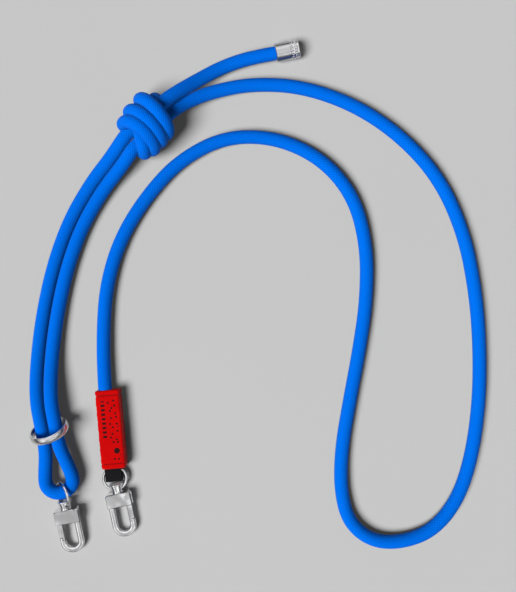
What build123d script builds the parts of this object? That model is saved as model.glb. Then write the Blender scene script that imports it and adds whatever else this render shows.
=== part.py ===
"""Braided rope carrying strap laid out flat: adjusting knot, slider ring, label sleeve and two swivel snap hooks.

Millimetres.  +Z is up and the strap lies on Z = 0.  The origin is on that surface, under the middle of the
box around the fittings (hooks, slider ring, label and ferrule).
"""
from build123d import *
from math import cos, pi, radians, sin, tan
import os

os.makedirs("parts", exist_ok=True)

# ---------------------------------------------------------------- driving dimensions
ROPE_D = 8.0                    # braided rope
FOLD_SHARE = 0.45               # share of the shorter run that each bend of the rope uses

LABEL_LENGTH = 46.0             # red sleeve over the rope's end
LABEL_WIDTH = 14.4
LABEL_THICK = 9.6
LABEL_WALL = 0.75
LABEL_CORNER = 1.8
LABEL_HEM = 3.0                 # from each end to the sewn crease
CREASE_DEPTH = 0.3
CREASE_WIDTH = 0.8
ROPE_SIDE_SHIFT = -1.9          # the rope enters the sleeve left of its middle
ROPE_IN_LABEL = 20.0            # length of rope inside the sleeve

TAB_WIDTH = 9.6                 # black webbing loop
TAB_THICK = 1.2
TAB_GAP = 2.6
TAB_SIDE_SHIFT = -1.0
TAB_FOLD_AT = 31.4              # from the sleeve's middle to the outside of the fold
TAB_TAIL_AT = 8.0               # inner ends of the webbing

FERRULE_D = 10.9                # metal end of the short tail
FERRULE_LENGTH = 13.8
FERRULE_TUBE = 8.6
CAP_D = 11.2                    # knurled cap
CAP_LIP = 1.1

SLIDER_OUTER_D = 23.4           # polished band round both legs of the loop
SLIDER_INNER_D = 20.0
SLIDER_WIDTH = 4.5
SLIDER_LEAN = 65.0              # degrees between the band's plane and the ground

KNOT_WIDTH = 30.6               # outside of the wraps, across the strap
KNOT_HEIGHT = 30.4
KNOT_LENGTH = 29.0

RING_R = {"a": 7.05, "b": 6.7}   # wire rings between the swivel eyes and the strap, to the wire's centre
RING_WIRE_D = 1.6
RING_A_LEAN = 55.0              # degrees between ring A's plane and the ground

EYE_HOLE_AT = 2.5               # along the swivel axis, from the hook block's end face
EYE_HOLE_D = 3.6
EYE_TOP = 5.6
EYE_RIM_R = 4.3
EYE_BASE_GAP = 0.3
STUD_R = 1.2
STUD_CLEARANCE = 0.05
STUD_HEAD_R = 1.9

BLOCK_WIDTH = 14.8              # hook body
BLOCK_LENGTH = 8.2
BLOCK_THICK = 6.4
BLOCK_WALL = 1.2                # end wall that the stud turns in
HOOK_HALF_WIDTH = 7.1
HOOK_LEG = 3.7
HOOK_THICK = 4.4
HOOK_LENGTH = 26.7              # from the block's end face to the outside of the bend
HOOK_EDGE_R = 1.4               # rounding of the U's long edges

GATE_THICK = 3.0
GATE_PIVOT = (5.1, -3.1)
GATE_HEEL_R = 2.1
GATE_TIP_AT = -17.9
GATE_STEP_AT = -16.4
GATE_STEP_X = 5.2               # the gate's tip lies on the inner side of this
GATE_INNER_X = 3.5
POCKET_FLOOR = -2.7             # of the spring's pocket and the pin's blind hole
PIN_R = 1.0
PIN_HEAD_R = 1.4
PIN_HEAD_GAP = 0.15             # round the head, in the block's recess
PIN_HEAD_THICK = 0.5
PIN_CLEARANCE = 0.05
SPRING_R = 1.4
SPRING_WIRE_R = 0.2
SPRING_LEVEL = -2.2             # the coil's middle, from the hook's middle plane

# ---------------------------------------------------------------- places
LABEL_CENTRE = (-31.5, -77.3, LABEL_THICK / 2)
LABEL_TURN = 5.1                # degrees; the sleeve's lower end swings to the right
FERRULE_MOUTH = (65.2, 143.4, CAP_D / 2)
FERRULE_TURN = 11.7             # degrees above the X axis
SLIDER_CENTRE = (-66.4, -77.4, 11.3)
SLIDER_TURN = 18.0              # degrees; the band's level diameter above the X axis
KNOT_CENTRE = (-8.7, 98.8, KNOT_HEIGHT / 2)
KNOT_TURN = 49.5                # degrees; direction of the two strands through the knot
HOOK_PLACES = {
    # end face of the block, turn of the hook's axis from -Y, its slope and which face is up
    "a": {"at": (-58.1, -124.5, 5.55), "turn": 10.4, "slope": 7.0, "face_up": False},
    "b": {"at": (-27.9, -115.1, 4.1), "turn": 11.4, "slope": 3.85, "face_up": True},
}
RING_A_TURN = 15.3              # degrees; ring A's level diameter from -Y

# ---------------------------------------------------------------- the rope's route
LONG_RUN = [
    (-33.66, -74.48, 4.8),      # inside the label
    (-35.7, -51.5, 4.8),
    (-36.6, -21.7, 4.0),
    (-34.7, 7.1, 4.0),
    (-26.3, 34.8, 4.0),
    (-10.9, 59.6, 4.0),
    (8.3, 80.6, 4.0),
    (35.2, 94.7, 4.0),
    (65.2, 94.3, 4.0),
    (92.8, 81.6, 4.0),
    (111.6, 59.1, 4.0),
    (119.1, 29.3, 4.0),
    (118.7, -2.7, 4.0),
    (114.2, -32.7, 4.0),
    (108.9, -60.7, 4.0),
    (104.1, -88.7, 4.0),
    (103.4, -112.5, 4.0),
    (107.9, -132.3, 4.0),
    (121.6, -143.8, 4.0),
    (139.6, -144.7, 4.0),
    (158.6, -137.3, 4.0),
    (173.0, -118.7, 4.0),
    (181.1, -92.7, 4.0),
    (185.2, -61.7, 4.0),
    (185.6, -29.7, 4.0),
    (183.2, 2.3, 4.0),
    (176.7, 36.4, 4.0),
    (162.6, 68.9, 4.0),
    (140.3, 94.1, 4.0),
    (112.7, 113.1, 4.0),
    (80.8, 124.3, 4.0),
    (51.1, 125.8, 4.0),
    (28.3, 121.0, 5.0),
    (14.2, 114.9, 8.2),
    (4.8, 108.2, 11.9),
    (-1.4, 101.4, 12.5),         # inside the knot
]
LEG_LOOP = [
    (-18.6, 96.7, 15.2),        # inside the knot
    (-23.5, 91.0, 14.0),
    (-30.5, 82.0, 9.5),
    (-43.2, 67.5, 5.0),
    (-56.4, 45.2, 4.0),
    (-65.9, 18.7, 4.0),
    (-72.1, -10.1, 4.0),
    (-75.1, -37.7, 5.4),
    (-74.6, -59.7, 9.8),
    (-71.3, -76.0, 9.8),
    (-69.1, -90.1, 8.4),
    (-70.0, -101.7, 6.7),
    (-70.0, -109.5, 6.7),       # the tight fold through ring A
    (-67.3, -113.2, 6.9),
    (-62.8, -115.0, 6.9),
    (-57.9, -114.0, 6.6),
    (-54.5, -110.7, 6.5),
    (-53.6, -106.1, 6.6),
    (-56.7, -98.1, 7.3),
    (-61.6, -86.4, 9.2),
    (-63.5, -74.0, 9.8),
    (-66.3, -59.5, 9.8),
    (-66.8, -37.9, 5.4),
    (-63.9, -11.3, 4.0),
    (-58.0, 16.5, 4.0),
    (-49.0, 41.8, 4.0),
    (-36.4, 63.1, 5.0),
    (-24.2, 76.9, 9.5),
    (-17.4, 85.8, 14.0),
    (-13.0, 91.3, 15.2),        # inside the knot
]
TAIL = [
    (-7.2, 103.6, 20.4),        # inside the knot
    (-0.7, 110.8, 19.2),
    (8.2, 118.4, 15.0),
    (19.4, 126.6, 8.6),
    (32.0, 134.6, 4.8),
    (45.2, 139.5, 4.9),
    (56.5, 141.9, 5.3),
    (65.2, 143.4, 5.6),
    (73.2, 145.05, 5.6),        # inside the ferrule
]


def turn_at(before, corner, after):
    """Angle in degrees by which a route turns at a corner."""
    return (Vector(*corner) - Vector(*before)).get_angle(Vector(*after) - Vector(*corner))


def bend_radii(route):
    """One radius for each corner: as large as the two runs beside it allow."""
    radii = []
    for before, corner, after in zip(route, route[1:], route[2:]):
        shorter = min((Vector(*corner) - Vector(*before)).length, (Vector(*after) - Vector(*corner)).length)
        radii.append(FOLD_SHARE * shorter / tan(radians(turn_at(before, corner, after) / 2)))
    return radii


def rope_tube(name, route):
    """A round tube along straight runs joined by tangent arcs."""
    radii = bend_radii(route)
    with BuildPart() as tube:
        with BuildLine() as path:
            FilletPolyline(*route, radius=radii)
        centreline = path.wires()[0]
        with BuildSketch(Plane(origin=centreline @ 0, z_dir=centreline % 0)):
            Circle(ROPE_D / 2)
        sweep(path=centreline, transition=Transition.RIGHT)
    share = tube.part.volume / (pi * ROPE_D**2 / 4 * centreline.length)
    print(name, "length", round(centreline.length, 1), "volume over section times length", round(share, 4),
          "radii", [round(radius, 1) for radius in radii])
    return tube.part


def write(name, part):
    """Label a finished piece and write it."""
    part.label = name
    export_step(part, f"parts/{name}.step")


# ---------------------------------------------------------------- rope
write("rope_long_run", rope_tube("rope_long_run", LONG_RUN))
write("rope_leg_loop", rope_tube("rope_leg_loop", LEG_LOOP))
write("rope_tail", rope_tube("rope_tail", TAIL))

# Knot: the outside of the wraps, an oval barrel with rounded ends, lying on the ground.
knot_axis = Vector(cos(radians(KNOT_TURN)), sin(radians(KNOT_TURN)), 0)
knot_plane = Plane(origin=KNOT_CENTRE, x_dir=(sin(radians(KNOT_TURN)), -cos(radians(KNOT_TURN)), 0),
                   z_dir=knot_axis)
with BuildPart() as rope_knot:
    with BuildSketch(knot_plane):
        Ellipse(KNOT_WIDTH / 2, KNOT_HEIGHT / 2)
    extrude(amount=KNOT_LENGTH / 2, both=True)
    end_edges = rope_knot.edges().group_by(SortBy.LENGTH)[-1]
    fillet(end_edges, radius=4.0)
write("rope_knot", rope_knot.part)

# ---------------------------------------------------------------- ferrule on the short tail
ferrule_plane = Plane(
    origin=FERRULE_MOUTH,
    x_dir=(-sin(radians(FERRULE_TURN)), cos(radians(FERRULE_TURN)), 0),
    z_dir=(cos(radians(FERRULE_TURN)), sin(radians(FERRULE_TURN)), 0),
)

with BuildPart() as tail_ferrule:
    with BuildSketch(Plane.XZ):
        with BuildLine():
            Polyline(
                (ROPE_D / 2, 0), (FERRULE_D / 2 - 0.35, 0), (FERRULE_D / 2, 0.35),
                (FERRULE_D / 2, FERRULE_TUBE), (ROPE_D / 2, FERRULE_TUBE), close=True,
            )
        make_face()
    revolve(axis=Axis.Z)
write("tail_ferrule", ferrule_plane * tail_ferrule.part)

SCALLOPS = 22                   # round each of the cap's two rows
SCALLOP_R = 0.85
with BuildPart() as ferrule_end_cap:
    with BuildSketch(Plane.XZ):
        with BuildLine():
            Polyline(
                (0, FERRULE_TUBE), (CAP_D / 2 - 0.3, FERRULE_TUBE), (CAP_D / 2, FERRULE_TUBE + 0.3),
                (CAP_D / 2, FERRULE_LENGTH - CAP_LIP - 0.3), (CAP_D / 2 - 0.35, FERRULE_LENGTH - CAP_LIP),
                (CAP_D / 2 - 0.35, FERRULE_LENGTH - 0.4), (CAP_D / 2 - 0.75, FERRULE_LENGTH),
                (0, FERRULE_LENGTH), close=True,
            )
        make_face()
    revolve(axis=Axis.Z)
    for row, height in enumerate((FERRULE_TUBE + 1.15, FERRULE_TUBE + 2.95)):
        row_turn = row * 180 / SCALLOPS
        with Locations((0, 0, height)):
            with PolarLocations(CAP_D / 2 + 0.45, SCALLOPS, start_angle=row_turn):
                Sphere(SCALLOP_R, mode=Mode.SUBTRACT)
write("ferrule_end_cap", ferrule_plane * ferrule_end_cap.part)

# ---------------------------------------------------------------- slider ring round both legs
slider_level = Vector(cos(radians(SLIDER_TURN)), sin(radians(SLIDER_TURN)), 0)
slider_fall = Vector(sin(radians(SLIDER_TURN)), -cos(radians(SLIDER_TURN)), 0)
slider_up = slider_fall * cos(radians(SLIDER_LEAN)) + Vector(0, 0, sin(radians(SLIDER_LEAN)))
slider_plane = Plane(origin=SLIDER_CENTRE, x_dir=slider_level, z_dir=slider_level.cross(slider_up))
with BuildPart() as slider_ring:
    with BuildSketch(Plane.XZ):
        with BuildLine():
            inner = SLIDER_INNER_D / 2
            edge = SLIDER_OUTER_D / 2 - 0.9
            half = SLIDER_WIDTH / 2
            Polyline((edge, -half), (inner + 0.25, -half), (inner, 0), (inner + 0.25, half), (edge, half))
            ThreePointArc((edge, half), (SLIDER_OUTER_D / 2, 0), (edge, -half))
        make_face()
    revolve(axis=Axis.Z)
write("slider_ring", slider_plane * slider_ring.part)

# ---------------------------------------------------------------- label, clamp and webbing tab
# Label frame: X across, Y from the lower end towards the rope, Z up, origin at the sleeve's middle.
label_plane = Plane(
    origin=LABEL_CENTRE,
    x_dir=(cos(radians(LABEL_TURN)), sin(radians(LABEL_TURN)), 0),
    z_dir=(0, 0, 1),
)
half_length = LABEL_LENGTH / 2
across = Plane(origin=(0, -half_length, 0), x_dir=(1, 0, 0), z_dir=(0, 1, 0))

with BuildPart() as label_sleeve:
    with BuildSketch(across):
        RectangleRounded(LABEL_WIDTH, LABEL_THICK, LABEL_CORNER)
    extrude(amount=LABEL_LENGTH)
    end_wall = 1.5
    with BuildSketch(across.offset(end_wall)):
        RectangleRounded(
            LABEL_WIDTH - 2 * LABEL_WALL, LABEL_THICK - 2 * LABEL_WALL, LABEL_CORNER - LABEL_WALL
        )
    extrude(amount=LABEL_LENGTH - 2 * end_wall, mode=Mode.SUBTRACT)
    # sewn crease near each end
    for crease_at in (LABEL_HEM, LABEL_LENGTH - LABEL_HEM):
        with BuildSketch(across.offset(crease_at - CREASE_WIDTH / 2)):
            RectangleRounded(LABEL_WIDTH + 2, LABEL_THICK + 2, LABEL_CORNER)
            RectangleRounded(LABEL_WIDTH - 2 * CREASE_DEPTH, LABEL_THICK - 2 * CREASE_DEPTH,
                             LABEL_CORNER - CREASE_DEPTH, mode=Mode.SUBTRACT)
        extrude(amount=CREASE_WIDTH, mode=Mode.SUBTRACT)
    # mouth for the rope at the upper end
    with BuildSketch(across.offset(LABEL_LENGTH - end_wall - 1)):
        with Locations((ROPE_SIDE_SHIFT, 0)):
            Circle(ROPE_D / 2)
    extrude(amount=end_wall + 2, mode=Mode.SUBTRACT)
    # slot for the webbing at the lower end; in this plane +Y points down
    with BuildSketch(across.offset(-1)):
        with Locations((TAB_SIDE_SHIFT, 0.3)):
            Rectangle(TAB_WIDTH + 0.2, TAB_GAP + 2 * TAB_THICK)
    extrude(amount=end_wall + 2, mode=Mode.SUBTRACT)
write("label_sleeve", label_plane * label_sleeve.part)

# Thread: a row of short stitches in each crease, on the upper and lower faces.
STITCHES = 8
STITCH_PITCH = 1.35
with BuildPart() as label_stitching:
    for face in (1, -1):
        stitch_z = face * (LABEL_THICK / 2 - CREASE_DEPTH + 0.05)
        with Locations((0, 0, stitch_z)):
            with GridLocations(STITCH_PITCH, LABEL_LENGTH - 2 * LABEL_HEM, STITCHES, 2):
                Cylinder(radius=0.2, height=1.0, rotation=(0, 90, 0))
write("label_stitching", label_plane * label_stitching.part)

# Webbing: one strip folded round, its two tails held in the clamp.  It is drawn from the side.
tab_plane = Plane(origin=(TAB_SIDE_SHIFT, 0, -0.3), x_dir=(0, -1, 0), z_dir=(1, 0, 0))
tab_outer = TAB_GAP / 2 + TAB_THICK
fold_centre = TAB_FOLD_AT - tab_outer
with BuildPart() as webbing_tab:
    with BuildSketch(tab_plane):
        with Locations(((TAB_TAIL_AT + fold_centre) / 2, 0)):
            Rectangle(fold_centre - TAB_TAIL_AT, 2 * tab_outer)
        with Locations((fold_centre, 0)):
            Circle(tab_outer)
        with Locations(((TAB_TAIL_AT + fold_centre) / 2 - 1, 0)):
            Rectangle(fold_centre - TAB_TAIL_AT + 2, TAB_GAP, mode=Mode.SUBTRACT)
        with Locations((fold_centre, 0)):
            Circle(TAB_GAP / 2, mode=Mode.SUBTRACT)
    extrude(amount=TAB_WIDTH / 2, both=True)
write("webbing_tab", label_plane * webbing_tab.part)

# Clamp inside the sleeve: butts on the rope's end and holds the webbing's tails.
clamp_from = half_length - ROPE_IN_LABEL
CLAMP_LENGTH = 20.0
CLAMP_THICK = 7.7
CLAMP_GAP = 0.1                 # between the rope's end and the clamp
with BuildPart() as end_clamp:
    with BuildSketch(Plane(origin=(0, clamp_from - CLAMP_GAP, 0), x_dir=(1, 0, 0), z_dir=(0, -1, 0))):
        RectangleRounded(LABEL_WIDTH - 2 * LABEL_WALL - 0.3, CLAMP_THICK, 1.3)
    extrude(amount=CLAMP_LENGTH)
    with BuildSketch(tab_plane):
        for side in (1, -1):
            with Locations(((TAB_TAIL_AT + 30) / 2, side * (TAB_GAP + TAB_THICK) / 2)):
                Rectangle(30 - TAB_TAIL_AT, TAB_THICK)
    extrude(amount=TAB_WIDTH / 2, both=True, mode=Mode.SUBTRACT)
write("end_clamp", label_plane * end_clamp.part)


# ---------------------------------------------------------------- swivel snap hooks
def hook_frame(place):
    """Frame of one hook: X across, Y from the hook towards the ring, Z out of its marked face."""
    turn = radians(place["turn"])
    slope = radians(place["slope"])
    towards_ring = Vector(-sin(turn) * cos(slope), cos(turn) * cos(slope), sin(slope))
    level = Vector(cos(turn), sin(turn), 0)
    across_hook = level if place["face_up"] else -level
    return Plane(origin=place["at"], x_dir=across_hook, z_dir=across_hook.cross(towards_ring))


def make_hook_body():
    """Block with the stud's bore and the gate's slot, and the U-shaped hook as far as its nose."""
    bend = HOOK_LENGTH - HOOK_HALF_WIDTH
    with BuildPart() as hook:
        with BuildSketch(Plane.XY.offset(-HOOK_THICK / 2)):
            with Locations((0, -(bend + BLOCK_LENGTH - 1) / 2)):
                Rectangle(2 * HOOK_HALF_WIDTH, bend - BLOCK_LENGTH + 1)
            with Locations((0, -bend)):
                Circle(HOOK_HALF_WIDTH)
            with Locations((0, -(bend + BLOCK_LENGTH - 2) / 2)):
                Rectangle(2 * (HOOK_HALF_WIDTH - HOOK_LEG), bend - BLOCK_LENGTH + 2, mode=Mode.SUBTRACT)
            with Locations((0, -bend)):
                Circle(HOOK_HALF_WIDTH - HOOK_LEG, mode=Mode.SUBTRACT)
        extrude(amount=HOOK_THICK)
        rims = hook.faces().filter_by(Axis.Z).edges()
        fillet(rims, radius=HOOK_EDGE_R)
        # no leg on the gate's side, and a half-width nose for the gate to close against
        outside = HOOK_HALF_WIDTH + 0.5
        inside = HOOK_HALF_WIDTH - HOOK_LEG - 0.5
        step_x = GATE_STEP_X + 0.12
        step_y = GATE_STEP_AT - 0.25
        tip_y = GATE_TIP_AT - 0.2
        with BuildSketch(Plane.XY.offset(-HOOK_THICK)):
            with BuildLine():
                Polyline((inside, 0), (outside, 0), (outside, step_y), (step_x, step_y), (step_x, tip_y),
                         (inside, tip_y), close=True)
            make_face()
        extrude(amount=2 * HOOK_THICK, mode=Mode.SUBTRACT)
        with BuildSketch(Plane.XY.offset(-BLOCK_THICK / 2)):
            with Locations((0, -BLOCK_LENGTH / 2)):
                Rectangle(BLOCK_WIDTH, BLOCK_LENGTH)
        extrude(amount=BLOCK_THICK)
        corners = hook.edges().filter_by(Axis.Z).filter_by_position(Axis.Y, -0.1, 0.1)
        fillet(corners, radius=1.6)
        block_rims = (
            hook.faces().filter_by(Axis.Z).group_by(Axis.Z)[-1].edges()
            + hook.faces().filter_by(Axis.Z).group_by(Axis.Z)[0].edges()
        )
        chamfer(block_rims, length=0.45)
        # slot for the gate, open below and outside
        with BuildSketch(Plane.XY.offset(-GATE_THICK / 2 - 0.1)):
            with BuildLine():
                Polyline((BLOCK_WIDTH, -0.85), (2.5, -0.85), (2.5, -4.6), (0.6, -BLOCK_LENGTH - 0.8),
                         (BLOCK_WIDTH, -BLOCK_LENGTH - 0.8), close=True)
            make_face()
        extrude(amount=GATE_THICK + 0.2, mode=Mode.SUBTRACT)
        # pocket in one cheek for the spring's coil and leg
        with BuildSketch(Plane.XY.offset(POCKET_FLOOR)):
            with Locations(GATE_PIVOT):
                Circle(SPRING_R + SPRING_WIRE_R + 0.15)
            with Locations((GATE_PIVOT[0] - SPRING_R, -5.2)):
                Rectangle(0.9, 4.6)
        extrude(amount=1.2, mode=Mode.SUBTRACT)
        # bore and headroom for the swivel stud
        with BuildSketch(Plane.XZ.offset(0)):
            Circle(STUD_R + STUD_CLEARANCE)
        extrude(amount=BLOCK_WALL, mode=Mode.SUBTRACT)
        with BuildSketch(Plane.XZ.offset(BLOCK_WALL)):
            Circle(STUD_HEAD_R + 0.15)
        extrude(amount=2.2, mode=Mode.SUBTRACT)
        # pin hole: blind, its mouth recessed for the rivet head
        with BuildSketch(Plane.XY.offset(POCKET_FLOOR)):
            with Locations(GATE_PIVOT):
                Circle(PIN_R)
        extrude(amount=6.5, mode=Mode.SUBTRACT)
        with BuildSketch(Plane.XY.offset(BLOCK_THICK / 2 - PIN_HEAD_THICK)):
            with Locations(GATE_PIVOT):
                Circle(PIN_HEAD_R + PIN_HEAD_GAP)
        extrude(amount=1.0, mode=Mode.SUBTRACT)
    return hook.part


def make_gate():
    """Lever that closes the hook: round heel on the pin, stepped tip behind the nose."""
    pivot_x, pivot_y = GATE_PIVOT
    with BuildPart() as gate:
        with BuildSketch(Plane.XY.offset(-GATE_THICK / 2)):
            with Locations(GATE_PIVOT):
                Circle(GATE_HEEL_R)
            with BuildLine():
                Polyline((GATE_INNER_X, pivot_y), (HOOK_HALF_WIDTH, pivot_y), (HOOK_HALF_WIDTH, GATE_STEP_AT),
                         (GATE_STEP_X, GATE_STEP_AT), (GATE_STEP_X, GATE_TIP_AT), (GATE_INNER_X, GATE_TIP_AT),
                         close=True)
            make_face()
        extrude(amount=GATE_THICK)
        long_edges = gate.edges().filter_by(Axis.Y).filter_by_position(Axis.Y, -12, -6)
        chamfer(long_edges, length=0.5)
        with BuildSketch(Plane.XY.offset(-GATE_THICK)):
            with Locations(GATE_PIVOT):
                Circle(PIN_R + PIN_CLEARANCE)
        extrude(amount=2 * GATE_THICK, mode=Mode.SUBTRACT)
    return gate.part


def make_gate_pin():
    """Rivet through the block and the gate, its head flush with the marked face."""
    with BuildPart() as pin:
        with BuildSketch(Plane.XY.offset(POCKET_FLOOR)):
            with Locations(GATE_PIVOT):
                Circle(PIN_R)
        extrude(amount=BLOCK_THICK / 2 - POCKET_FLOOR - PIN_HEAD_THICK)
        with BuildSketch(Plane.XY.offset(BLOCK_THICK / 2 - PIN_HEAD_THICK)):
            with Locations(GATE_PIVOT):
                Circle(PIN_HEAD_R)
        extrude(amount=PIN_HEAD_THICK)
    return pin.part


def make_gate_spring():
    """Torsion spring beside the gate's heel: two closed turns and one straight leg."""
    pivot_x, pivot_y = GATE_PIVOT
    with BuildPart() as spring:
        with BuildSketch(Plane.XZ):
            with Locations((SPRING_R, SPRING_LEVEL - 0.15), (SPRING_R, SPRING_LEVEL + 0.15)):
                Circle(SPRING_WIRE_R)
        revolve(axis=Axis.Z)
        with BuildSketch(Plane.XZ):
            with Locations((-SPRING_R, SPRING_LEVEL)):
                Circle(SPRING_WIRE_R)
        extrude(amount=4.0)
    return spring.part.moved(Location((pivot_x, pivot_y, 0)))


def make_swivel_eye():
    """Flared barrel with a cross hole for the ring, and the headed stud that turns in the block."""
    neck = 3.3
    with BuildPart() as eye:
        with BuildSketch(Plane.XY):
            with BuildLine():
                Polyline(
                    (0, -2.9), (STUD_HEAD_R - 0.5, -2.9), (STUD_HEAD_R, -2.4),
                    (STUD_HEAD_R, -BLOCK_WALL - 0.15), (STUD_R, -BLOCK_WALL - 0.15),
                    (STUD_R, EYE_BASE_GAP), (neck, EYE_BASE_GAP),
                    (neck, EYE_BASE_GAP + 0.9), (EYE_RIM_R - 0.35, EYE_TOP - 1.2), (EYE_RIM_R, EYE_TOP - 0.8),
                    (EYE_RIM_R, EYE_TOP - 0.3), (EYE_RIM_R - 0.3, EYE_TOP), (EYE_RIM_R - 1.2, EYE_TOP),
                    (EYE_RIM_R - 2.2, EYE_TOP - 0.4), (0, EYE_TOP - 0.4), close=True,
                )
            make_face()
        revolve(axis=Axis.Y)
        with BuildSketch(Plane.YZ.offset(-EYE_RIM_R - 1)):
            with Locations((EYE_HOLE_AT, 0)):
                Circle(EYE_HOLE_D / 2)
        extrude(amount=2 * EYE_RIM_R + 2, mode=Mode.SUBTRACT)
    return eye.part


def make_clasp_ring(ring_r):
    """Round wire ring in the XY plane."""
    with BuildPart() as ring:
        Torus(ring_r, RING_WIRE_D / 2)
    return ring.part


# Ring A leans against the rope's fold; ring B lies level in the webbing loop.
ring_level = Vector(sin(radians(RING_A_TURN)), -cos(radians(RING_A_TURN)), 0)
ring_side = Vector(cos(radians(RING_A_TURN)), sin(radians(RING_A_TURN)), 0)
ring_rise = ring_side * cos(radians(RING_A_LEAN)) + Vector(0, 0, sin(radians(RING_A_LEAN)))
frame_a = hook_frame(HOOK_PLACES["a"])
frame_b = hook_frame(HOOK_PLACES["b"])
WIRE_BEYOND_HOLE = {"a": 0.55, "b": 0.75}    # from the hole's middle out to the wire's


def eye_on_ring(frame, level, rise, hole_in):
    """The ring's centre and the eye's frame, with the eye's hole along the ring's wire."""
    outward = frame.y_dir * -1
    lean = outward.dot(rise) / outward.dot(level)
    radial = (level + rise * lean).normalized()
    wire = (rise - level * lean).normalized()
    hole = frame.origin + frame.y_dir * EYE_HOLE_AT
    centre = hole - radial * hole_in
    return centre, Plane(origin=frame.origin, x_dir=wire, z_dir=wire.cross(frame.y_dir))


centre_a, eye_frame_a = eye_on_ring(frame_a, ring_level, ring_rise, RING_R["a"] - WIRE_BEYOND_HOLE["a"])
flat_level = Vector(frame_b.y_dir.X * -1, frame_b.y_dir.Y * -1, 0).normalized()
flat_side = Vector(0, 0, 1).cross(flat_level)
centre_b, eye_frame_b = eye_on_ring(frame_b, flat_level, flat_side, RING_R["b"] - WIRE_BEYOND_HOLE["b"])
ring_frame_a = Plane(origin=centre_a, x_dir=ring_level, z_dir=ring_level.cross(ring_rise))
ring_frame_b = Plane(origin=centre_b, x_dir=flat_level, z_dir=(0, 0, 1))
print("ring centres", centre_a, centre_b)
print("eye pivots: hole a", frame_a.origin + frame_a.y_dir * EYE_HOLE_AT, "axis", eye_frame_a.x_dir)
print("eye pivots: hole b", frame_b.origin + frame_b.y_dir * EYE_HOLE_AT, "axis", eye_frame_b.x_dir)
print("swivel axes", frame_a.y_dir, frame_b.y_dir, "gate axes", frame_a.z_dir, frame_b.z_dir)
print("gate pivots", frame_a.from_local_coords((*GATE_PIVOT, 0)), frame_b.from_local_coords((*GATE_PIVOT, 0)))
print("slider axis", slider_plane.z_dir, "ring a level", ring_level)

for side, frame, eye_frame, ring_frame in (
    ("a", frame_a, eye_frame_a, ring_frame_a),
    ("b", frame_b, eye_frame_b, ring_frame_b),
):
    write(f"clasp_ring_{side}", ring_frame * make_clasp_ring(RING_R[side]))
    write(f"swivel_eye_{side}", eye_frame * make_swivel_eye())
    write(f"hook_body_{side}", frame * make_hook_body())
    write(f"hook_gate_{side}", frame * make_gate())
    write(f"gate_pin_{side}", frame * make_gate_pin())
    write(f"gate_spring_{side}", frame * make_gate_spring())
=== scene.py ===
"""Looks for the braided rope carrying strap: the rope with its knot, the fittings' finishes, the label and the light.

Metres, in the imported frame: +Z up, the strap on Z = 0, the camera straight above.
"""

from math import cos, exp, pi, radians, sin

import bpy
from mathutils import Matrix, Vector


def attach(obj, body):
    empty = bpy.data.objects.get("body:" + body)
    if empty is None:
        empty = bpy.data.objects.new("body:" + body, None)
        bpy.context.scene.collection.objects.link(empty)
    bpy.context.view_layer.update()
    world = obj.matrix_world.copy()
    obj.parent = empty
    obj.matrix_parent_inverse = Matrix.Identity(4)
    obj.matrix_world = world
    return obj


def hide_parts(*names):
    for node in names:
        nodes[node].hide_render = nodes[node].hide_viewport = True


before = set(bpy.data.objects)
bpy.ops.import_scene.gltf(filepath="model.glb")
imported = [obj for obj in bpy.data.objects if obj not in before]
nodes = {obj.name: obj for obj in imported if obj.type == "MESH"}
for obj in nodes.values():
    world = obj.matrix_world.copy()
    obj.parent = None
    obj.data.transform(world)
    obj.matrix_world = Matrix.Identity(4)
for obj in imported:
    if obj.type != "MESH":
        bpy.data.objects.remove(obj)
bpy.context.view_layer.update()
MM = 0.001

# ---------------------------------------------------------------- camera
CAMERA_OVER = (54.8 * MM, 0.7 * MM)
CAMERA_HEIGHT = 0.489
camera_data = bpy.data.cameras.new("camera")
camera_data.lens = 50.0
camera_data.sensor_width = 36.0
camera_data.clip_start = 0.01
camera = bpy.data.objects.new("camera", camera_data)
camera.location = (*CAMERA_OVER, CAMERA_HEIGHT)
bpy.context.scene.collection.objects.link(camera)
bpy.context.scene.camera = camera

# ---------------------------------------------------------------- the rope's route, as in the CAD
ROPE_D = 0.008
LONG_RUN = [
    (-0.03366, -0.07448, 0.0048),   # inside the label
    (-0.0357, -0.0515, 0.0048),
    (-0.0366, -0.0217, 0.004),
    (-0.0347, 0.0071, 0.004),
    (-0.0263, 0.0348, 0.004),
    (-0.0109, 0.0596, 0.004),
    (0.0083, 0.0806, 0.004),
    (0.0352, 0.0947, 0.004),
    (0.0652, 0.0943, 0.004),
    (0.0928, 0.0816, 0.004),
    (0.1116, 0.0591, 0.004),
    (0.1191, 0.0293, 0.004),
    (0.1187, -0.0027, 0.004),
    (0.1142, -0.0327, 0.004),
    (0.1089, -0.0607, 0.004),
    (0.1041, -0.0887, 0.004),
    (0.1034, -0.1125, 0.004),
    (0.1079, -0.1323, 0.004),
    (0.1216, -0.1438, 0.004),
    (0.1396, -0.1447, 0.004),
    (0.1586, -0.1373, 0.004),
    (0.173, -0.1187, 0.004),
    (0.1811, -0.0927, 0.004),
    (0.1852, -0.0617, 0.004),
    (0.1856, -0.0297, 0.004),
    (0.1832, 0.0023, 0.004),
    (0.1767, 0.0364, 0.004),
    (0.1626, 0.0689, 0.004),
    (0.1403, 0.0941, 0.004),
    (0.1127, 0.1131, 0.004),
    (0.0808, 0.1243, 0.004),
    (0.0511, 0.1258, 0.004),
    (0.0283, 0.121, 0.005),
    (0.0142, 0.1149, 0.0082),
    (0.0048, 0.1082, 0.0119),
    (-0.0014, 0.1014, 0.0125),      # inside the knot
]
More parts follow.
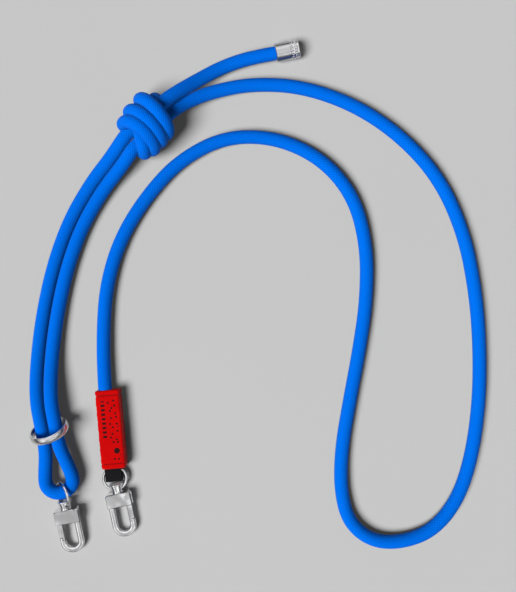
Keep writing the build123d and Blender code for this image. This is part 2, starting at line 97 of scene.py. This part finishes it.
LEG_LOOP = [
    (-0.0186, 0.0967, 0.0152),      # inside the knot
    (-0.0235, 0.091, 0.014),
    (-0.0305, 0.082, 0.0095),
    (-0.0432, 0.0675, 0.005),
    (-0.0564, 0.0452, 0.004),
    (-0.0659, 0.0187, 0.004),
    (-0.0721, -0.0101, 0.004),
    (-0.0751, -0.0377, 0.0054),
    (-0.0746, -0.0597, 0.0098),
    (-0.0713, -0.076, 0.0098),
    (-0.0691, -0.0901, 0.0084),
    (-0.07, -0.1017, 0.0067),
    (-0.07, -0.1095, 0.0067),       # the tight fold through ring A
    (-0.0673, -0.1132, 0.0069),
    (-0.0628, -0.115, 0.0069),
    (-0.0579, -0.114, 0.0066),
    (-0.0545, -0.1107, 0.0065),
    (-0.0536, -0.1061, 0.0066),
    (-0.0567, -0.0981, 0.0073),
    (-0.0616, -0.0864, 0.0092),
    (-0.0635, -0.074, 0.0098),
    (-0.0663, -0.0595, 0.0098),
    (-0.0668, -0.0379, 0.0054),
    (-0.0639, -0.0113, 0.004),
    (-0.058, 0.0165, 0.004),
    (-0.049, 0.0418, 0.004),
    (-0.0364, 0.0631, 0.005),
    (-0.0242, 0.0769, 0.0095),
    (-0.0174, 0.0858, 0.014),
    (-0.013, 0.0913, 0.0152),       # inside the knot
]
TAIL = [
    (-0.0072, 0.1036, 0.0204),      # inside the knot
    (-0.0007, 0.1108, 0.0192),
    (0.0082, 0.1184, 0.015),
    (0.0194, 0.1266, 0.0086),
    (0.032, 0.1346, 0.0048),
    (0.0452, 0.1395, 0.0049),
    (0.0565, 0.1419, 0.0053),
    (0.0652, 0.1434, 0.0056),
    (0.0732, 0.14505, 0.0056),      # inside the ferrule
]

# The knot's wraps lie on an oval barrel round the strands that pass through it.
KNOT_CENTRE = Vector((-0.0087, 0.0988, 0.0152))
KNOT_TURN = radians(49.5)
LEFT_REACH = (0.0131, 0.0131, 0.0114)       # control radius of each wrap across the strap, on its left
RIGHT_REACH = (0.0114, 0.0115, 0.0102)      # and on its right
WRAP_HIGH = 0.0116                          # and upwards
WRAP_ARCH = 0.0036                          # how far each wrap bows along the knot as it crosses the top
WRAP_STEP = 30                              # degrees from one control point to the next
LEFT_SIDE_AT = (0.0078, -0.0014, -0.0089)   # along the knot, where each wrap rises on its left side
RIGHT_SIDE_AT = (0.0042, -0.0014, -0.0064)  # and where it goes down on its right
POINTS_PER_RUN = 16                         # on the drawn line, from one control point to the next
ROPE_SIDES = 28


def in_knot(along, across, up):
    """A point of the knot: along the strands, across towards the lower right, and up from its middle."""
    x = along * cos(KNOT_TURN) + across * sin(KNOT_TURN)
    y = along * sin(KNOT_TURN) - across * cos(KNOT_TURN)
    return tuple(KNOT_CENTRE + Vector((x, y, up)))


def wraps():
    """Control points of the turns, each going over the top to the right and back beneath."""
    sides = [place for pair in zip(LEFT_SIDE_AT, RIGHT_SIDE_AT) for place in pair]
    reaches = [reach for left, right in zip(LEFT_REACH, RIGHT_REACH) for reach in (-left, right)]
    points = []
    for half in range(len(sides) - 1):
        start, end = sides[half:half + 2]
        near, far = reaches[half:half + 2]
        for step in range(0, 180, WRAP_STEP):
            angle = radians(half * 180 + step)
            gone = (1 - cos(radians(step))) / 2
            along = start + (end - start) * step / 180 + WRAP_ARCH * max(0.0, sin(angle))
            across = near + (far - near) * gone
            points.append(in_knot(along, across, WRAP_HIGH * sin(angle)))
    return points


KNOT_START = [                  # the right leg goes through, turns back over the tail and down to the first wrap
    in_knot(-0.0060, 0.0020, -0.0040),
    in_knot(0.0040, 0.0030, -0.0072),
    in_knot(0.0112, 0.0030, -0.0080),
    in_knot(0.0144, -0.0014, -0.0082),
    in_knot(0.0150, -0.0058, -0.0045),
    in_knot(0.0140, -0.0068, 0.0020),
    in_knot(0.0124, -0.0040, 0.0062),
    in_knot(0.0098, 0.0010, 0.0045),
    in_knot(0.0076, 0.0040, -0.0035),
    in_knot(0.0070, -0.0010, -0.0100),
    in_knot(0.0078, -0.0080, -0.0095),
]
KNOT_END = [                    # the last wrap goes under the legs, back up beside them and through to the tail
    in_knot(-0.0074, 0.0112, 0.0005),
    in_knot(-0.0088, 0.0094, -0.0080),
    in_knot(-0.0108, 0.0032, -0.0112),
    in_knot(-0.0120, 0.0004, -0.0100),
    in_knot(-0.0130, 0.0040, -0.0096),
    in_knot(-0.0130, 0.0078, -0.0060),
    in_knot(-0.0124, 0.0084, 0.0000),
    in_knot(-0.0104, 0.0062, 0.0052),
    in_knot(-0.0070, 0.0010, 0.0040),
    in_knot(-0.0010, -0.0035, 0.0030),
]
ROUTE = LONG_RUN + LEG_LOOP[:-1] + KNOT_START + wraps() + KNOT_END + TAIL


def spline_points(name, route, per_run):
    """Points of the smooth NURBS line that has the route as its control points."""
    curve = bpy.data.curves.new(name, "CURVE")
    curve.dimensions = "3D"
    curve.resolution_u = per_run
    spline = curve.splines.new("NURBS")
    spline.points.add(len(route) - 1)
    for point, place in zip(spline.points, route):
        point.co = (*place, 1.0)
    spline.order_u = 3
    spline.use_endpoint_u = True
    line = bpy.data.objects.new(name, curve)
    bpy.context.scene.collection.objects.link(line)
    bpy.context.view_layer.update()
    mesh = bpy.data.meshes.new_from_object(line)
    points = [vertex.co.copy() for vertex in mesh.vertices]
    bpy.data.objects.remove(line)
    bpy.data.meshes.remove(mesh)
    return points


def rope_mesh(name, points, radius, sides):
    """A closed tube round the points. Its UV map runs in metres along the rope and once round it."""
    rings = len(points)
    tangents = [
        (points[min(i + 1, rings - 1)] - points[max(i - 1, 0)]).normalized()
        for i in range(rings)
    ]
    normal = tangents[0].orthogonal().normalized()
    vertices, travelled = [], [0.0]
    for i in range(rings):
        if i:
            normal = tangents[i - 1].rotation_difference(tangents[i]) @ normal
            travelled.append(travelled[-1] + (points[i] - points[i - 1]).length)
        normal = (normal - tangents[i] * normal.dot(tangents[i])).normalized()
        binormal = tangents[i].cross(normal)
        for j in range(sides):
            angle = 2 * pi * j / sides
            vertices.append(points[i] + (normal * cos(angle) + binormal * sin(angle)) * radius)
    faces = [
        (i * sides + j, i * sides + (j + 1) % sides, (i + 1) * sides + (j + 1) % sides, (i + 1) * sides + j)
        for i in range(rings - 1)
        for j in range(sides)
    ]
    faces.append(tuple(reversed(range(sides))))
    faces.append(tuple(range((rings - 1) * sides, rings * sides)))
    mesh = bpy.data.meshes.new(name)
    mesh.from_pydata(vertices, [], faces)
    uv = mesh.uv_layers.new(name="along").data
    for index in range(len(faces) - 2):
        i, j = divmod(index, sides)
        corners = ((i, j), (i, j + 1), (i + 1, j + 1), (i + 1, j))
        for loop, (ring, side) in zip(mesh.polygons[index].loop_indices, corners):
            uv[loop].uv = (travelled[ring], side / sides)
    mesh.shade_smooth()
    return mesh


# ---------------------------------------------------------------- material helpers
class Nodes:
    """Builds a material's node tree with short calls."""

    def __init__(self, name):
        self.material = bpy.data.materials.new(name)
        self.material.use_nodes = True
        self.tree = self.material.node_tree
        self.shader = self.tree.nodes["Principled BSDF"]

    def set(self, socket, value):
        """Joins a socket to another one's output, or gives it a value."""
        if isinstance(value, bpy.types.NodeSocket):
            self.tree.links.new(value, socket)
        else:
            socket.default_value = value

    def add(self, kind, inputs=(), **settings):
        """A new node with these settings, and these values or links at its inputs."""
        node = self.tree.nodes.new(kind)
        for key, value in settings.items():
            setattr(node, key, value)
        for key, value in dict(inputs).items():
            self.set(node.inputs[key], value)
        return node

    def maths(self, operation, *values):
        return self.add("ShaderNodeMath", dict(enumerate(values)), operation=operation).outputs[0]

    def noise(self, vector, scale, detail=3.0, rough=0.5):
        inputs = {"Vector": vector, "Scale": scale, "Detail": detail, "Roughness": rough}
        return self.add("ShaderNodeTexNoise", inputs).outputs[0]

    def mix(self, share, first, second):
        node = self.add("ShaderNodeMix", data_type="RGBA")
        self.set(node.inputs[0], share)
        self.set(node.inputs[6], first)
        self.set(node.inputs[7], second)
        return node.outputs[2]

    def between(self, value, low, high, to_low, to_high):
        """The value, moved from the range low to high into the range to_low to to_high and kept inside it."""
        inputs = {"Value": value, "From Min": low, "From Max": high, "To Min": to_low, "To Max": to_high}
        return self.add("ShaderNodeMapRange", inputs).outputs[0]

    def bump(self, height, distance, strength=1.0, normal=None):
        inputs = {"Height": height, "Distance": distance, "Strength": strength}
        if normal is not None:
            inputs["Normal"] = normal
        return self.add("ShaderNodeBump", inputs).outputs[0]

    def finish(self, **inputs):
        for key, value in inputs.items():
            self.set(self.shader.inputs[key.replace("_", " ")], value)
        return self.material

    def place(self):
        return self.add("ShaderNodeTexCoord").outputs["Object"]


def rgb(red, green, blue):
    """A shader colour from the 0 to 255 values seen on a screen."""
    shares = (value / 255 for value in (red, green, blue))
    return tuple(((c + 0.055) / 1.055) ** 2.4 if c > 10 / 255 else c / 12.92 for c in shares) + (1.0,)


# ---------------------------------------------------------------- rope
YARNS = 18                      # of each direction round the rope
YARN_PITCH = 0.00145            # along the rope from one crossing to the next
YARN_WANDER = 0.55              # of a pitch, so that the braid is not quite even
YARN_UNDER = 0.55               # height of a yarn where it dips under another
YARN_ROUND = 0.6                # power that flattens the top of each yarn
BRAID_RELIEF = 0.00025
# The darker groove blue is painted shade in the braid's grooves.
YARN_BLUE, GROOVE_SHADE_BLUE, WORN_BLUE = rgb(0, 126, 255), rgb(0, 68, 188), rgb(0, 104, 240)


def braid_material():
    """Two sets of yarns crossing at a slant, each going over and under the other, with painted shade in the grooves
    between them.
    """
    n = Nodes("braid")
    uv = n.add("ShaderNodeUVMap", uv_map="along").outputs[0]
    split = n.add("ShaderNodeSeparateXYZ", {0: uv})
    along = n.maths("DIVIDE", split.outputs[0], YARN_PITCH)
    around = n.maths("MULTIPLY", split.outputs[1], YARNS)
    place = n.place()
    wander = n.maths("MULTIPLY", n.maths("SUBTRACT", n.noise(place, 260.0), 0.5), YARN_WANDER)
    along = n.maths("ADD", along, wander)
    right = n.maths("ADD", along, around)
    left = n.maths("SUBTRACT", along, around)
    right_at, left_at = n.maths("FRACT", right), n.maths("FRACT", left)
    cell = n.maths("ADD", n.maths("FLOOR", right), n.maths("FLOOR", left))
    over = n.maths("ABSOLUTE", n.maths("MODULO", cell, 2.0))
    right_bulge = n.maths("SINE", n.maths("MULTIPLY", right_at, pi))
    left_bulge = n.maths("SINE", n.maths("MULTIPLY", left_at, pi))
    right_yarn, left_yarn = (
        n.maths("MULTIPLY", n.maths("POWER", bulge, YARN_ROUND), n.between(other, 0, 1, YARN_UNDER, 1.0))
        for bulge, other in ((right_bulge, left_bulge), (left_bulge, right_bulge))
    )
    height = n.add("ShaderNodeMix", {0: over, 2: right_yarn, 3: left_yarn}, data_type="FLOAT").outputs[0]
    doubled = {socket: n.maths("MULTIPLY", value, 2.0) for socket, value in enumerate((right, left))}
    fibre = n.noise(n.add("ShaderNodeCombineXYZ", doubled).outputs[0], 4.0, 2.0)
    tone = n.noise(place, 45.0, 2.0)
    # Painted shade: the lower a yarn lies, the nearer its colour comes to the darker groove blue.
    colour = n.mix(n.between(height, 0.15, 0.8, 0.0, 1.0), GROOVE_SHADE_BLUE, YARN_BLUE)
    colour = n.mix(n.between(fibre, 0.35, 0.7, 0.0, 0.35), colour, YARN_BLUE)
    colour = n.mix(n.between(tone, 0.35, 0.75, 0.0, 0.16), colour, WORN_BLUE)
    relief = n.maths("ADD", height, n.maths("MULTIPLY", fibre, 0.25))
    return n.finish(
        Base_Color=colour,
        Roughness=n.between(fibre, 0.3, 0.7, 0.62, 0.8),
        Specular_IOR_Level=0.06,
        Normal=n.bump(relief, BRAID_RELIEF, 0.9),
    )


rope_points = spline_points("rope_line", ROUTE, POINTS_PER_RUN)
rope = bpy.data.objects.new("braided_rope", rope_mesh("braided_rope", rope_points, ROPE_D / 2, ROPE_SIDES))
bpy.context.scene.collection.objects.link(rope)
rope.data.materials.append(braid_material())
rope.visible_diffuse = False     # no blue light from it on the pale floor
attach(rope, "strap")
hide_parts("rope_long_run", "rope_leg_loop", "rope_tail", "rope_knot")

LABEL_CENTRE = Vector((-0.0315, -0.0773, 0.0048))
LABEL_TURN = radians(5.1)
LABEL_LENGTH = 0.046
label_up = Vector((-sin(LABEL_TURN), cos(LABEL_TURN), 0))
label_right = Vector((cos(LABEL_TURN), sin(LABEL_TURN), 0))


# ---------------------------------------------------------------- finishes of the fittings
GRAIN_DEPTH = 0.00001
SHARP_EDGE_METAL = rgb(238, 238, 240)
SCRATCH_STRETCH = (1.0, 0.12, 1.0)


def metal(name, colour, dull, rough, grain, wave=0.0):
    """Plated metal: slow changes of tone, fine scratches, a lighter colour at sharp edges and a hand-polished wave.
    """
    n = Nodes(name)
    place = n.place()
    stretched = n.add("ShaderNodeMapping", {"Vector": place, "Scale": SCRATCH_STRETCH}).outputs[0]
    scratches = n.noise(stretched, grain * 3, 4.0, 0.6)
    patches = n.noise(place, 120.0, 3.0)
    cast = n.noise(place, grain, 4.0, 0.6)
    edge = n.add("ShaderNodeNewGeometry").outputs["Pointiness"]
    # The base colour turns lighter where the surface is sharply convex, at its edges.
    sharp_edge_share = n.between(edge, 0.5, 0.56, 0.0, 0.5)
    tone = n.mix(n.between(patches, 0.35, 0.7, 0.0, 0.5), colour, dull)
    tone = n.mix(sharp_edge_share, tone, SHARP_EDGE_METAL)
    roughness = n.maths("ADD", n.between(patches, 0.3, 0.75, rough * 0.75, rough * 1.35),
                        n.maths("MULTIPLY", scratches, 0.06))
    relief = n.maths("ADD", cast, n.maths("MULTIPLY", scratches, 0.4))
    waves = n.bump(n.noise(place, 95.0, 1.0), wave)
    return n.finish(Base_Color=tone, Metallic=1.0, Roughness=roughness,
                    Normal=n.bump(relief, GRAIN_DEPTH, 0.6, waves))


satin = metal("satin_zinc", rgb(230, 230, 231), rgb(212, 212, 214), rough=0.13, grain=900.0, wave=0.0005)
bright = metal("bright_wire", rgb(222, 222, 222), rgb(190, 190, 192), rough=0.12, grain=1300.0)
polished = metal("polished_steel", rgb(206, 205, 206), rgb(178, 176, 178), rough=0.24, grain=1100.0)
dark = metal("black_nickel", rgb(140, 139, 143), rgb(112, 111, 115), rough=0.24, grain=1300.0)
cap = metal("nickel_cap", rgb(214, 213, 215), rgb(186, 185, 188), rough=0.16, grain=1300.0)


def give(names, material):
    """Puts one material on these CAD nodes in place of their own."""
    for name in names:
        mesh = nodes[name].data
        mesh.materials.clear()
        mesh.materials.append(material)


give(["hook_body_a", "hook_body_b", "hook_gate_a", "hook_gate_b", "swivel_eye_a", "swivel_eye_b"], satin)
give(["clasp_ring_a", "clasp_ring_b", "gate_pin_a", "gate_pin_b", "gate_spring_a", "gate_spring_b"], bright)
give(["slider_ring"], polished)
give(["tail_ferrule"], dark)
give(["ferrule_end_cap"], cap)


# Marks on the label: across it from its middle line, and along it from its centre.
BAR_PITCH = 2.6 * MM
BARS_ACROSS = (-4.2 * MM, -2.0 * MM)
BARS_ALONG = (-5.5 * MM, 17.0 * MM)
DOTS_PER_METRE = 330.0
DOT_SHARE = 0.2                  # of the cell that each dot sits in
DOTS_ACROSS = (-0.6 * MM, 5.2 * MM)
DOTS_ALONG = (-18.5 * MM, 18.0 * MM)
BIG_DOT = (3.0 * MM, -12.5 * MM)
BIG_DOT_R = 1.7 * MM
BIG_DOT_MARGIN = 1.2 * MM        # kept free of small dots round it
MARKS_REACH_DOWN = 1.0 * MM      # below the label's middle height, so only its upper face is printed


def print_marks(n, place):
    """Plain printed marks on the sleeve's upper face: a column of bars, scattered dots and one large dot."""
    moved = n.add("ShaderNodeMapping", {"Vector": place, "Location": tuple(-LABEL_CENTRE)}).outputs[0]
    turned = n.add("ShaderNodeMapping", {"Vector": moved, "Rotation": (0, 0, -LABEL_TURN)}).outputs[0]
    split = n.add("ShaderNodeSeparateXYZ", {0: turned})
    across, along, up = split.outputs

    def inside(value, low, high):
        return n.maths("MULTIPLY", n.maths("GREATER_THAN", value, low), n.maths("LESS_THAN", value, high))

    step = n.maths("FRACT", n.maths("DIVIDE", along, BAR_PITCH))
    bars = n.maths("MULTIPLY", inside(step, 0.25, 0.75), inside(across, *BARS_ACROSS))
    bars = n.maths("MULTIPLY", bars, inside(along, *BARS_ALONG))
    spots = n.add("ShaderNodeTexVoronoi", {"Vector": turned, "Scale": DOTS_PER_METRE, "Randomness": 0.7},
                  voronoi_dimensions="2D").outputs["Distance"]
    dots = n.maths("MULTIPLY", n.maths("LESS_THAN", spots, DOT_SHARE), inside(across, *DOTS_ACROSS))
    dots = n.maths("MULTIPLY", dots, inside(along, *DOTS_ALONG))
    offset = n.add("ShaderNodeVectorMath", {0: turned, 1: (BIG_DOT[0], BIG_DOT[1], LABEL_CENTRE.z)},
                   operation="DISTANCE").outputs["Value"]
    dots = n.maths("MULTIPLY", dots, n.maths("GREATER_THAN", offset, BIG_DOT_R + BIG_DOT_MARGIN))
    marks = n.maths("MAXIMUM", n.maths("MAXIMUM", bars, dots), n.maths("LESS_THAN", offset, BIG_DOT_R))
    return n.maths("MULTIPLY", marks, n.maths("GREATER_THAN", up, LABEL_CENTRE.z - MARKS_REACH_DOWN))


def label_material():
    """Red coated leather: fine grain, with painted shade darkening the pits of its grain."""
    n = Nodes("red_leather")
    place = n.place()
    grain = n.add("ShaderNodeTexVoronoi", {"Vector": place, "Scale": 1900.0}).outputs["Distance"]
    pores = n.noise(place, 2600.0, 3.0)
    tone = n.noise(place, 70.0, 3.0)
    red = n.mix(n.between(tone, 0.3, 0.7, 0.0, 1.0), rgb(212, 8, 6), rgb(196, 6, 8))
    red = n.mix(print_marks(n, place), red, rgb(22, 6, 8))
    # Painted shade: darker red in the pits of the grain, where its relief is lowest.
    red = n.mix(n.between(grain, 0.0, 0.5, 0.25, 0.0), red, rgb(150, 0, 2))
    relief = n.maths("ADD", n.maths("MULTIPLY", grain, 0.7), n.maths("MULTIPLY", pores, 0.3))
    return n.finish(Base_Color=red, Roughness=n.between(tone, 0.3, 0.7, 0.46, 0.58), Specular_IOR_Level=0.15,
                    Normal=n.bump(relief, 0.00006, 0.6))


def thread_material():
    """Dark red sewing thread with a fine twist."""
    n = Nodes("thread")
    twist = n.noise(n.place(), 3200.0, 2.0)
    return n.finish(Base_Color=n.mix(twist, rgb(60, 0, 4), rgb(110, 4, 10)), Roughness=0.75,
                    Normal=n.bump(twist, 0.00005))


RIB_PITCH = 0.0011
WARP_PITCH = 0.0007


def webbing_material():
    """Black webbing: ribs across its width and fine warp yarns along it, with painted shade in the troughs of the
    weave.
    """
    n = Nodes("webbing")
    turned = n.add("ShaderNodeMapping", {"Vector": n.place(), "Rotation": (0, 0, -LABEL_TURN)}).outputs[0]
    split = n.add("ShaderNodeSeparateXYZ", {0: turned})
    ribs = n.maths("SINE", n.maths("MULTIPLY", split.outputs[1], 2 * pi / RIB_PITCH))
    warp = n.maths("SINE", n.maths("MULTIPLY", split.outputs[0], 2 * pi / WARP_PITCH))
    weave = n.maths("MULTIPLY", n.maths("ADD", ribs, n.maths("MULTIPLY", warp, 0.6)), 0.5)
    fuzz = n.noise(turned, 2400.0, 3.0)
    # Painted shade: the colour follows the weave's relief, darkest in its troughs.
    colour = n.mix(n.between(weave, -0.8, 0.8, 0.0, 1.0), rgb(6, 6, 7), rgb(30, 30, 32))
    relief = n.maths("ADD", weave, n.maths("MULTIPLY", fuzz, 0.5))
    return n.finish(Base_Color=colour, Roughness=n.between(fuzz, 0.3, 0.7, 0.7, 0.9), Specular_IOR_Level=0.2,
                    Normal=n.bump(relief, 0.00012, 0.8))


LABEL_HALF = (0.0072, 0.0048)    # half of its width and of its thickness
LABEL_CORNER = 0.0012
HEM_AT = 0.0200                  # of each sewn crease, from the middle
HEM_DEPTH = 0.00034
HEM_WIDTH = 0.0004
RIM = 0.0007                     # rounding of the sleeve's ends
SLACK = 0.00016                  # how much fuller the sleeve is at its middle
CROWN = 0.00014                  # how far its upper face domes
WAVES = ((0.00009, 900.0, 0.0), (0.00006, 2100.0, 1.0))   # depth, turns and start of its edges' unevenness
INSET = (0.00012, 0.00018)       # keeps all of that inside the CAD sleeve's sides and faces
ABOVE_FLOOR = 0.00002
SLEEVE_STATIONS = 140
CORNER_STEPS = 7
EDGE_STEPS = 8


def sleeve_outline(half_width, half_thick, corner):
    """Points round one cross-section of the sleeve: four round corners joined by evenly divided sides."""
    places = []
    for quarter, (sx, sz) in enumerate(((1, 1), (-1, 1), (-1, -1), (1, -1))):
        for step in range(CORNER_STEPS + 1):
            angle = pi / 2 * (quarter + step / CORNER_STEPS)
            places.append((sx * (half_width - corner) + corner * cos(angle),
                           sz * (half_thick - corner) + corner * sin(angle)))
    outline = []
    for index, place in enumerate(places):
        outline.append(place)
        if index % (CORNER_STEPS + 1) == CORNER_STEPS:
            other = places[(index + 1) % len(places)]
            for step in range(1, EDGE_STEPS):
                share = step / EDGE_STEPS
                outline.append(tuple(a + (b - a) * share for a, b in zip(place, other)))
    return outline


def sleeve_mesh():
    """Folded leather: creased at its hems, a little fuller between them, with soft uneven edges and round ends."""
    vertices, faces = [], []
    half = LABEL_LENGTH / 2
    around = 0
    for station in range(SLEEVE_STATIONS + 1):
        along = -half + LABEL_LENGTH * station / SLEEVE_STATIONS
        to_end = half - abs(along)
        tuck = RIM * (1 - (1 - (1 - min(to_end, RIM) / RIM) ** 2) ** 0.5)
        crease = HEM_DEPTH * exp(-((abs(along) - HEM_AT) / HEM_WIDTH) ** 2)
        uneven = sum(depth * sin(along * turns + start) for depth, turns, start in WAVES)
        slack = SLACK * (1 - (along / half) ** 2)
        width = LABEL_HALF[0] - INSET[0] - tuck - crease + uneven
        thick = LABEL_HALF[1] - INSET[1] - tuck - crease + slack
        outline = sleeve_outline(width, thick, LABEL_CORNER)
        around = len(outline)
        for across, up in outline:
            crown = CROWN * cos(across / LABEL_HALF[0] * pi / 2) * (1 if up > 0 else 0)
            place = LABEL_CENTRE + label_right * across + label_up * along + Vector((0, 0, up + crown))
            vertices.append((place.x, place.y, max(place.z, ABOVE_FLOOR)))
    for station in range(SLEEVE_STATIONS):
        for side in range(around):
            low, high = station * around, (station + 1) * around
            following = (side + 1) % around
            faces.append((low + side, low + following, high + following, high + side))
    faces.append(tuple(reversed(range(around))))
    faces.append(tuple(range(SLEEVE_STATIONS * around, (SLEEVE_STATIONS + 1) * around)))
    mesh = bpy.data.meshes.new("leather_sleeve")
    mesh.from_pydata(vertices, [], [tuple(reversed(face)) for face in faces])
    mesh.shade_smooth()
    return mesh


sleeve = bpy.data.objects.new("leather_sleeve", sleeve_mesh())
bpy.context.scene.collection.objects.link(sleeve)
sleeve.data.materials.append(label_material())
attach(sleeve, "strap")
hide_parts("label_sleeve")
sleeve.visible_diffuse = False   # no red light from it on the pale floor
give(["label_stitching"], thread_material())
give(["webbing_tab", "end_clamp"], webbing_material())


# ---------------------------------------------------------------- floor, light and background
def floor_material():
    """Pale matt paper with faint clouds and specks."""
    n = Nodes("paper")
    place = n.place()
    speck = n.noise(place, 900.0, 4.0)
    cloud = n.noise(place, 3.0, 2.0)
    grey = n.mix(n.between(cloud, 0.3, 0.7, 0.0, 1.0), (0.560, 0.560, 0.560, 1), (0.575, 0.575, 0.575, 1))
    return n.finish(Base_Color=grey, Roughness=n.between(speck, 0.3, 0.7, 0.85, 0.95),
                    Normal=n.bump(speck, 0.00002, 0.3))


FLOOR_HALF = 4.0
FLOOR_BELOW = 0.0001            # just under the strap, so that the two never share a face
floor_mesh = bpy.data.meshes.new("floor")
corners = ((-1, -1), (1, -1), (1, 1), (-1, 1))
floor_mesh.from_pydata([(x * FLOOR_HALF, y * FLOOR_HALF, -FLOOR_BELOW) for x, y in corners], [], [(0, 1, 2, 3)])
floor_mesh.materials.append(floor_material())
floor = bpy.data.objects.new("floor", floor_mesh)
bpy.context.scene.collection.objects.link(floor)

SUN_STRENGTH = 3.55
SUN_WIDTH = radians(30)
TOWARDS_SUN = Vector((-0.55, -0.34, 1.0))
key_data = bpy.data.lights.new("key", "SUN")
key_data.energy = SUN_STRENGTH
key_data.angle = SUN_WIDTH
key = bpy.data.objects.new("key", key_data)
key.rotation_euler = TOWARDS_SUN.to_track_quat("Z", "Y").to_euler()
bpy.context.scene.collection.objects.link(key)
key.visible_glossy = False      # metals mirror the cards below instead

world = bpy.data.worlds.new("studio")
world.use_nodes = True
bpy.context.scene.world = world
tree = world.node_tree
direction = tree.nodes.new("ShaderNodeTexCoord").outputs["Generated"]
sky = tree.nodes.new("ShaderNodeSeparateXYZ")
tree.links.new(direction, sky.inputs[0])


def sky_light(strength, *stops):
    """A background whose grey depends on the height in the sky: each stop is a height from 0 to 1 and a grey."""
    ramp = tree.nodes.new("ShaderNodeValToRGB")
    while len(ramp.color_ramp.elements) < len(stops):
        ramp.color_ramp.elements.new(0.5)
    for element, (height, grey) in zip(ramp.color_ramp.elements, stops):
        element.position = height
        element.color = (grey, grey, grey, 1)
    tree.links.new(sky.outputs[2], ramp.inputs[0])
    background = tree.nodes.new("ShaderNodeBackground")
    tree.links.new(ramp.outputs[0], background.inputs[0])
    tree.links.new(strength, background.inputs[1])
    return background.outputs[0]


CARD_PATCHES = {"Scale": 3.2, "Detail": 1.0}
CARD_RANGE = {"From Min": 0.40, "From Max": 0.60, "To Min": 0.42, "To Max": 1.60}


def reflection_cards():
    """White and black cards round the table, which only shiny surfaces show: soft patches of light and dark."""
    patches = tree.nodes.new("ShaderNodeTexNoise")
    tree.links.new(direction, patches.inputs["Vector"])
    spread = tree.nodes.new("ShaderNodeMapRange")
    tree.links.new(patches.outputs[0], spread.inputs["Value"])
    for node, settings in ((patches, CARD_PATCHES), (spread, CARD_RANGE)):
        for socket, value in settings.items():
            node.inputs[socket].default_value = value
    return spread.outputs[0]


def choose(ray, otherwise, chosen):
    """One background for the rays of this kind and another for the rest."""
    choice = tree.nodes.new("ShaderNodeMixShader")
    tree.links.new(tree.nodes.new("ShaderNodeLightPath").outputs[ray], choice.inputs[0])
    tree.links.new(otherwise, choice.inputs[1])
    tree.links.new(chosen, choice.inputs[2])
    return choice.outputs[0]


steady = tree.nodes.new("ShaderNodeValue").outputs[0]
steady.default_value = 1.0
room = sky_light(steady, (0.0, 0.03), (1.0, 0.08))
cards = sky_light(reflection_cards(), (0.0, 0.03), (0.34, 0.08), (0.50, 0.85), (0.72, 1.0), (0.97, 0.92))
lit = choose("Is Glossy Ray", room, cards)
backdrop = sky_light(steady, (0.0, 0.56), (1.0, 0.60))
tree.nodes.remove(tree.nodes["Background"])
tree.links.new(choose("Is Camera Ray", lit, backdrop), tree.nodes["World Output"].inputs[0])

bpy.context.scene.view_settings.view_transform = "Standard"
